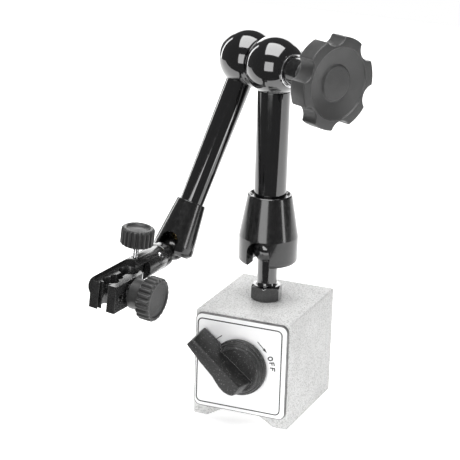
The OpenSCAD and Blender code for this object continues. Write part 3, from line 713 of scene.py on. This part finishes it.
piece(lathe("rear_housing_skin",
            BALL_FLAT + arc(0, 0, BALL_R, BALL_START, 90, 80)[:-1] + [(0, BALL_R)],
            ARM @ Matrix.Rotation(-math.pi / 2, 4, "Y"), "gloss_black", steps=160),
      "upper_arm", "gloss_black", "rear_housing")
piece(lathe("upper_tube_skin",
            fillet([(0, -82.8), (5.9, -82.8), (6.48, -13.0, 0.3), (6.0, -12.4), (6.0, -10.5),
                    (0, -10.5)]), ARM, "gloss_black"), "upper_arm", "gloss_black", "upper_tube")
piece(socket("upper_socket_skin", WRIST,
             [(5.7, -2.6), (8.3, -2.6, 0.8), (10, -0.8, 1.4), (10, 2, 1.5), (7.3, 23.9, 0.4),
              (6.9, 24.3, 0.2), (6.6, 24.3)],
             bore=6.0, ball=6.05, mouth=5.7, rod=2.4, seat=17, notch=4.7, rise=2.6, depth=8, reach=12),
      "upper_arm", "satin_black", "upper_socket")


# ---- Holder -----------------------------------------------------------------------------------

FORWARD = STUD @ Z_TO_FRONT
piece(lathe("upper_ball_stud_skin", [(0, -6)] + arc(0, 0, 6, -86, 55, 36)
            + fillet([(3.4, 5.2), (3.4, 9.6, 0.6), (3.9, 10.5, 0.2), (5.3, 10.5, 0.3), (6.3, 11.6, 0.5),
                      (6.3, 16.1, 0.2), (6.05, 16.4, 0.1), (2.2, 16.4), (2.2, 25.5), (0, 25.5)]),
            FORWARD, "satin_black"),
      "upper_stud", "satin_black", "upper_ball_stud")


def fluted(name, matrix, radius, low, high, count, depth, collar, dish, material):
    """Round knob with rounded flutes that die out at both ends, and a dished face."""
    steps = count * 12

    def ring(z, inset, flute):
        points = []
        for a in around(steps):
            wave = (0.5 - 0.5 * math.cos(count * a)) ** 1.6
            points.append(at(radius - inset - depth * flute * wave, a, z))
        return points

    rings = [[Vector((0, 0, collar[0][1]))]] + round_rings(collar, steps)
    rings += [ring(low + 0.35, 0.5, 0.7), ring(low + 0.8, 0.1, 0.95), ring(low + 1.3, 0, 1)]
    rings += [ring(high - 1.5, 0, 1), ring(high - 0.9, 0.12, 0.85), ring(high - 0.4, 0.45, 0.55),
              ring(high - 0.1, 0.95, 0.2), ring(high, 1.5, 0)]
    rings += round_rings(dish, steps)
    rings.append([Vector((0, 0, dish[-1][1]))])
    return rings_mesh(name, rings, matrix, material, angle=40)


CLAMP_AXIS = HOLDER @ Matrix.Translation((0, -42.5, -4.5)) @ Z_TO_X
FINE_AXIS = HOLDER @ Matrix.Translation((-0.5, -26.5, 0))
piece(fluted("clamp_knob_skin", CLAMP_AXIS, 10.5, 15.4, 22.6, 22, 1.05,
             [(6.4, 9.3), (7.3, 9.7, 0.3), (7.3, 15.0, 0.4), (9.0, 15.45, 0.3)],
             [(8.9, 22.6), (8.5, 22.5, 0.2), (8.0, 21.7, 0.3), (6.5, 21.6, 0.5), (0.5, 21.75)],
             "knob_plastic"),
      "clamp_knob", "grey_plastic", "clamp_knob")
piece(fluted("fine_knob_skin", FINE_AXIS, 8, 12.4, 21.1, 20, 1.0,
             [(2.4, 12.6), (3.2, 12.4, 0.2), (6.6, 12.4, 0.3)],
             [(6.2, 21.1), (5.8, 20.95, 0.2), (5.1, 20.1, 0.4), (4.0, 20.0, 0.4), (0.5, 20.3)],
             "knob_plastic"),
      "fine_knob", "dark_plastic", "fine_adjust_knob")


def threaded(name, matrix, radius, pitch, low, high, plain, material):
    """Screw with a real helical thread from low to high, then a plain rod of (radius, end)."""
    steps, per_turn = 40, 12
    count = int((high - low) / pitch * per_turn)
    rings = [[Vector((0, 0, low))]]
    for i in range(count + 1):
        z = low + (high - low) * i / count
        fade = min(1, (z - low) / pitch, (high - z) / pitch)
        ring = []
        for k, a in enumerate(around(steps)):
            phase = (z / pitch - k / steps) % 1
            r = radius - pitch * 0.55 * abs(2 * phase - 1) * max(fade, 0)
            ring.append(at(r, a, z))
        rings.append(ring)
    rings += [[at(plain[0], a, z) for a in around(steps)] for z in (high, plain[1])]
    rings.append([Vector((0, 0, plain[1]))])
    return rings_mesh(name, rings, matrix, material, angle=60)


piece(threaded("fine_screw_skin", FINE_AXIS, 1.36, 0.4, -1.4, 12.6, (1.25, 17), "bright_steel"),
      "fine_knob", "bright_steel", "fine_screw")
piece(threaded("clamp_screw_skin", CLAMP_AXIS, 1.5, 0.5, -4.6, 8.6, (1.4, 19), "bright_steel"),
      "clamp_knob", "bright_steel", "clamp_screw")


# ---- CAD nodes that stay ----------------------------------------------------------------------

KEPT = {
    "hammered_paint": ["rear_plate"],
    "plate_metal": ["front_plate"],
    "label_white": ["dial_label"],
    "steel": ["rear_plate_screws", "detent_ball", "detent_spring", "rotor_left_shoe",
              "rotor_right_shoe", "switch_knob_pin", "lower_pad_spring", "lower_push_rod", "bolt_key",
              "upper_pad_spring", "elbow_bolt", "upper_push_rod", "spin_set_screw", "clamp_washer"],
    "bright_steel": ["rocker_pin", "stop_pin"],
    "brass": ["front_bush", "rear_bush", "rotor_front_cap", "rotor_rear_cap", "lower_ball_pad",
              "knob_insert", "upper_ball_pad"],
    "magnet": ["rotor_magnet"],
    "satin_black": ["friction_washer"],
    "holder_black": ["holder_body", "clamp_arm"],
}
BEVELS = {"rear_plate": 0.3, "front_plate": 0.35, "dial_label": 0.1, "rear_plate_screws": 0.25,
          "holder_body": 0.22, "clamp_arm": 0.25, "rocker_pin": 0.2, "stop_pin": 0.1,
          "clamp_washer": 0.1}
for material, names in KEPT.items():
    for name in names:
        node = NODES[name]
        node.data.materials.clear()
        node.data.materials.append(MAT[material])
        modify(node, "WELD", merge_threshold=0.00001)
        if name in BEVELS:
            modify(node, "BEVEL", width=BEVELS[name] * MM, segments=2, limit_method="ANGLE",
                   angle_limit=math.radians(35), harden_normals=True)


# ---- Floor, light and camera ------------------------------------------------------------------

def emitter(name, place, aim, width, height, strength):
    data = bpy.data.lights.new(name, "AREA")
    data.shape = "RECTANGLE"
    data.size, data.size_y = width, height
    data.energy = strength
    lamp = bpy.data.objects.new(name, data)
    scene.collection.objects.link(lamp)
    lamp.location = place
    lamp.rotation_euler = (Vector(aim) - Vector(place)).to_track_quat("-Z", "Y").to_euler()
    return lamp


FLOOR_SIDE, FLOOR_FRONT, FLOOR_BACK = 0.9, -0.17, 0.9
FLOOR_GAP = 0.0001
floor_mesh = bpy.data.meshes.new("floor")
floor_mesh.from_pydata([(-FLOOR_SIDE, FLOOR_FRONT, 0), (FLOOR_SIDE, FLOOR_FRONT, 0),
                        (FLOOR_SIDE, FLOOR_BACK, 0), (-FLOOR_SIDE, FLOOR_BACK, 0)], [], [(0, 1, 2, 3)])
floor = bpy.data.objects.new("floor", floor_mesh)
scene.collection.objects.link(floor)
floor.location.z = cad_low.z - FLOOR_GAP
floor_mat = bpy.data.materials.new("floor_white")
floor_mat.use_nodes = True
shader = floor_mat.node_tree.nodes["Principled BSDF"]
shader.inputs["Base Color"].default_value = (0.9, 0.9, 0.9, 1)
shader.inputs["Roughness"].default_value = 0.9
shader.inputs["Emission Color"].default_value = (1, 1, 1, 1)
shader.inputs["Emission Strength"].default_value = 0.55
floor_mesh.materials.append(floor_mat)

emitter("top_softbox", (0.0, -0.17, 1.0), (0, 0, 0.16), 0.85, 0.85, 12)
emitter("front_softbox", (-0.08, -1.59, 0.37), (0, 0, 0.174), 0.98, 0.98, 11)
emitter("right_strip", (1.25, -0.12, 0.30), (0, 0, 0.14), 0.22, 1.3, 4)
emitter("left_strip", (-1.15, 0.45, 0.30), (0, 0, 0.14), 0.16, 1.3, 3)
emitter("back_panel", (-0.45, 1.5, 0.60), (0, 0, 0.14), 1.7, 0.9, 13)

world = bpy.data.worlds.new("studio")
scene.world = world
world.use_nodes = True
tree = world.node_tree
tree.nodes.clear()
out = tree.nodes.new("ShaderNodeOutputWorld")
seen = tree.nodes.new("ShaderNodeBackground")
seen.inputs["Color"].default_value = (1, 1, 1, 1)
seen.inputs["Strength"].default_value = 1.0
lit = tree.nodes.new("ShaderNodeBackground")
lit.inputs["Strength"].default_value = 0.16
path = tree.nodes.new("ShaderNodeLightPath")
pick = tree.nodes.new("ShaderNodeMixShader")
tree.links.new(path.outputs["Is Camera Ray"], pick.inputs[0])
tree.links.new(lit.outputs[0], pick.inputs[1])
tree.links.new(seen.outputs[0], pick.inputs[2])
tree.links.new(pick.outputs[0], out.inputs[0])

scene.view_settings.view_transform = "Standard"
scene.view_settings.look = "None"

camera_data = bpy.data.cameras.new("camera")
camera_data.sensor_width = 36
camera_data.lens = 162.76
camera_data.clip_end = 50
camera = bpy.data.objects.new("camera", camera_data)
scene.collection.objects.link(camera)
camera.location = (0.35166, -0.91032, 0.40797)
camera.rotation_euler = [math.radians(a) for a in (71.9475, -1.7459, 22.8138)]
scene.camera = camera
